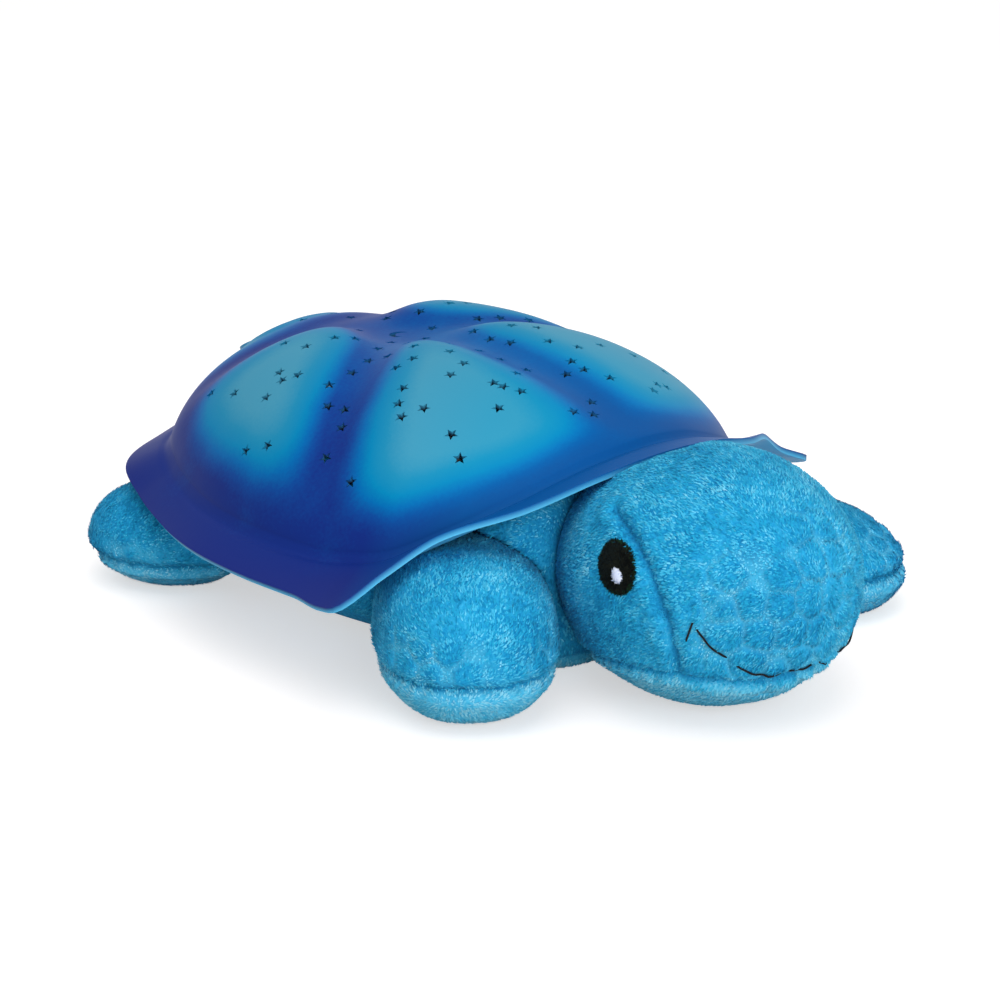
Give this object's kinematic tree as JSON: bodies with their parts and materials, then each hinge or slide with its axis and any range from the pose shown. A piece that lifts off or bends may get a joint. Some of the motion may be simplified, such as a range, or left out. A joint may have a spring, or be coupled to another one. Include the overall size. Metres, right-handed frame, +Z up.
{
  "type": "star night light projector",
  "caption": "Plush turtle night light: a hard shell pierced with stars and a crescent over a battery LED lamp, with a rear button panel.",
  "frame": {"origin": "on the floor, in the middle of the toy's length and in the plane of symmetry of its head and shell, at the belly rest", "axes": "+Z up, the head points along -Y, +X is the turtle's left side"},
  "size_m": [0.2191, 0.282, 0.0941],
  "materials": {
    "painted_shell": "hard blown shell, airbrushed deep blue along the valleys and pale azure on the plates",
    "panel_plastic": "moulded blue plastic",
    "power_cap": "moulded white plastic",
    "green_cap": "translucent green plastic",
    "blue_cap": "translucent blue plastic",
    "amber_cap": "translucent amber plastic",
    "switch_black": "black switch plastic",
    "circuit_board": "green solder mask",
    "screw_steel": "zinc plated steel",
    "plug_nylon": "natural nylon",
    "lamp_housing": "white moulded plastic",
    "light_deck_white": "matt white reflector",
    "green_lens": "green LED resin",
    "blue_lens": "blue LED resin",
    "amber_lens": "amber LED resin",
    "chip_black": "black epoxy",
    "capacitor_can": "sleeved can",
    "cable_jacket": "dark grey jacket",
    "cell_sleeve": "plain printed sleeve without any print",
    "contact_nickel": "nickel plated spring steel",
    "insert_brass": "turned brass",
    "plush": "short pile blue plush",
    "eye_thread": "dense black embroidery with a dark green edge",
    "highlight_thread": "white embroidery",
    "mouth_thread": "black running stitch"
  },
  "bodies": {
    "turtle": {"shell": "painted_shell", "panel": "panel_plastic", "switch_bodies": "switch_black", "switch_board": "circuit_board", "switch_board_screws": "screw_steel", "switch_plug": "plug_nylon", "tray": "lamp_housing", "clamp_ring": "lamp_housing", "shell_screws": "screw_steel", "light_deck": "light_deck_white", "deck_screws": "screw_steel", "lamp_board": "circuit_board", "lamp_board_screws": "screw_steel", "led_holder": "light_deck_white", "green_led": "green_lens", "blue_led": "blue_lens", "amber_led": "amber_lens", "timer_chip": "chip_black", "resistors": "chip_black", "transistors": "chip_black", "capacitor": "capacitor_can", "lamp_plug": "plug_nylon", "switch_cable": "cable_jacket", "left_cell": "cell_sleeve", "middle_cell": "cell_sleeve", "right_cell": "cell_sleeve", "contact_plates": "contact_nickel", "contact_springs": "contact_nickel", "door_inserts": "insert_brass", "torso": "plush", "head": "plush", "tail": "plush", "front_right_flipper": "plush", "front_left_flipper": "plush", "rear_right_flipper": "plush", "rear_left_flipper": "plush", "right_eye": "eye_thread", "left_eye": "eye_thread", "eye_highlights": "highlight_thread", "mouth_stitching": "mouth_thread"},
    "power_button": {"power_button": "power_cap"},
    "green_button": {"green_button": "green_cap"},
    "blue_button": {"blue_button": "blue_cap"},
    "amber_button": {"amber_button": "amber_cap"},
    "power_plunger": {"power_plunger": "switch_black"},
    "green_plunger": {"green_plunger": "switch_black"},
    "blue_plunger": {"blue_plunger": "switch_black"},
    "amber_plunger": {"amber_plunger": "switch_black"},
    "battery_door": {"battery_door": "lamp_housing"},
    "left_door_screw": {"left_door_screw": "screw_steel"},
    "right_door_screw": {"right_door_screw": "screw_steel"}
  },
  "joints": [
    {"name": "power_button_press", "type": "slide", "parent": "turtle", "child": "power_button", "axis": [0, -0.5878, -0.809], "range_m": [0, 0.0008], "stiffness_N_per_m": 600, "springref_m": -0.0004},
    {"name": "power_plunger_press", "type": "slide", "parent": "turtle", "child": "power_plunger", "axis": [0, -0.5878, -0.809], "range_m": [0, 0.0008]},
    {"name": "green_button_press", "type": "slide", "parent": "turtle", "child": "green_button", "axis": [0, -0.5878, -0.809], "range_m": [0, 0.0008], "stiffness_N_per_m": 600, "springref_m": -0.0004},
    {"name": "green_plunger_press", "type": "slide", "parent": "turtle", "child": "green_plunger", "axis": [0, -0.5878, -0.809], "range_m": [0, 0.0008]},
    {"name": "blue_button_press", "type": "slide", "parent": "turtle", "child": "blue_button", "axis": [0, -0.5878, -0.809], "range_m": [0, 0.0008], "stiffness_N_per_m": 600, "springref_m": -0.0004},
    {"name": "blue_plunger_press", "type": "slide", "parent": "turtle", "child": "blue_plunger", "axis": [0, -0.5878, -0.809], "range_m": [0, 0.0008]},
    {"name": "amber_button_press", "type": "slide", "parent": "turtle", "child": "amber_button", "axis": [0, -0.5878, -0.809], "range_m": [0, 0.0008], "stiffness_N_per_m": 600, "springref_m": -0.0004},
    {"name": "amber_plunger_press", "type": "slide", "parent": "turtle", "child": "amber_plunger", "axis": [0, -0.5878, -0.809], "range_m": [0, 0.0008]},
    {"name": "battery_door_lift", "type": "slide", "parent": "turtle", "child": "battery_door", "axis": [0, 0, -1], "range_m": [0, 0.012]},
    {"name": "left_door_screw_turn", "type": "hinge", "parent": "battery_door", "child": "left_door_screw", "pos_m": [0.0335, 0.04, 0.008], "axis": [0, 0, 1], "range_deg": [0, 1080]},
    {"name": "right_door_screw_turn", "type": "hinge", "parent": "battery_door", "child": "right_door_screw", "pos_m": [-0.0335, 0.04, 0.008], "axis": [0, 0, 1], "range_deg": [0, 1080]}
  ],
  "couplings": [
    {"joint": "power_plunger_press", "follows": "power_button_press", "ratio": 1},
    {"joint": "green_plunger_press", "follows": "green_button_press", "ratio": 1},
    {"joint": "blue_plunger_press", "follows": "blue_button_press", "ratio": 1},
    {"joint": "amber_plunger_press", "follows": "amber_button_press", "ratio": 1}
  ]
}
